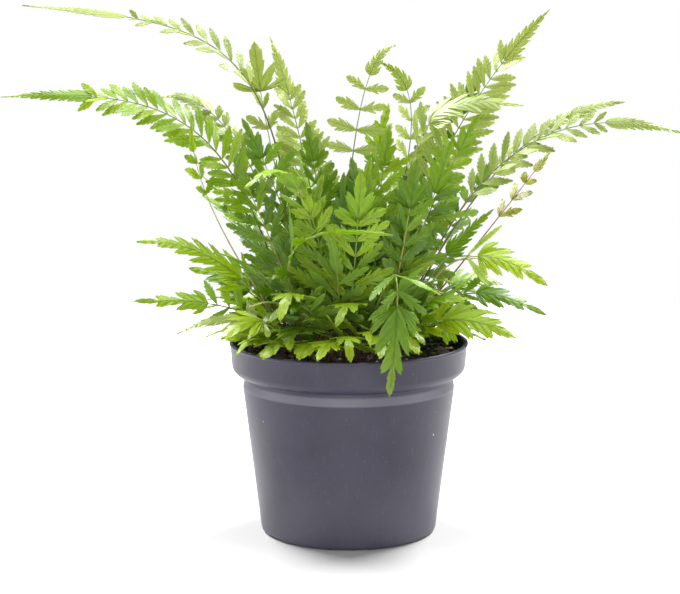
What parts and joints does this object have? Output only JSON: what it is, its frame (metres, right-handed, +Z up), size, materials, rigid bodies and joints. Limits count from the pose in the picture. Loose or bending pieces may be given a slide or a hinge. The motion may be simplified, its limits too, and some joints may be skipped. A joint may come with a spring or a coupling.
{
  "type": "potted fern",
  "caption": "Dense tuft of arching fern fronds with toothed leaflets, growing in compost in a tapered plastic nursery pot that stands on its foot ring.",
  "frame": {"origin": "on the pot's axis, in the plane that the pot stands on, at the flat pad in the middle of its underside", "axes": "+Z up; -Y towards the front that the picture shows; +X to the right, along the widest spread of the fronds"},
  "size_m": [0.3366, 0.1829, 0.2631],
  "materials": {
    "pot_plastic": "moulded grey-lilac plastic, satin, a little dusty",
    "compost": "dark crumbly compost with bark, pale grains and moss",
    "leaf_lime": "bright lime young leaf, thin and satin, fine veins",
    "leaf_light": "light green leaf, satin, fine veins",
    "leaf_mid": "mid green leaf, satin, fine veins",
    "leaf_dark": "dark older leaf, satin, fine veins",
    "leaf_pale": "pale matt underside of a leaf",
    "leaf_yellow": "yellow and brown tinged leaf with a reddish stalk"
  },
  "bodies": {
    "root": {"pot": "pot_plastic", "soil": "compost", "frond_left_long": "leaf_light", "frond_left_high": "leaf_pale", "frond_left_back": "leaf_pale", "frond_left_mid": "leaf_light", "frond_top_left": "leaf_light", "frond_top_left_round": "leaf_light", "frond_left_bright": "leaf_light", "frond_left_lime": "leaf_lime", "frond_left_low": "leaf_light", "frond_left_low_thin": "leaf_pale", "frond_left_rim": "leaf_lime", "frond_right_long": "leaf_pale", "frond_right_long_twin": "leaf_pale", "frond_top_right": "leaf_pale", "frond_top_right_dark": "leaf_dark", "frond_right_tan": "leaf_pale", "frond_right_yellow": "leaf_yellow", "frond_right_up": "leaf_mid", "frond_right_mid": "leaf_lime", "frond_right_low_thin": "leaf_mid", "frond_right_lime": "leaf_lime", "frond_top_middle": "leaf_pale", "frond_top_middle_curl": "leaf_light", "frond_front_droop": "leaf_mid", "frond_front_rim": "leaf_lime", "frond_front_cross": "leaf_mid", "frond_front_hand": "leaf_mid", "frond_front_left_small": "leaf_light", "frond_front_left_pale": "leaf_pale", "frond_middle_a": "leaf_mid", "frond_middle_b": "leaf_light", "frond_middle_c": "leaf_light", "frond_middle_d": "leaf_mid", "frond_middle_e": "leaf_mid", "frond_middle_f": "leaf_light", "frond_middle_g": "leaf_mid", "frond_middle_h": "leaf_light", "frond_middle_i": "leaf_mid", "frond_middle_j": "leaf_mid", "frond_low_a": "leaf_mid", "frond_low_b": "leaf_mid", "frond_low_c": "leaf_lime", "frond_low_d": "leaf_mid", "frond_low_e": "leaf_mid", "frond_low_f": "leaf_lime", "frond_back_a": "leaf_mid", "frond_back_b": "leaf_mid", "frond_back_c": "leaf_lime", "frond_back_d": "leaf_light", "frond_back_e": "leaf_mid", "frond_back_f": "leaf_light", "frond_back_g": "leaf_mid", "frond_back_h": "leaf_mid", "frond_back_i": "leaf_mid", "frond_back_j": "leaf_mid", "frond_back_k": "leaf_mid", "frond_back_l": "leaf_mid"}
  },
  "joints": []
}
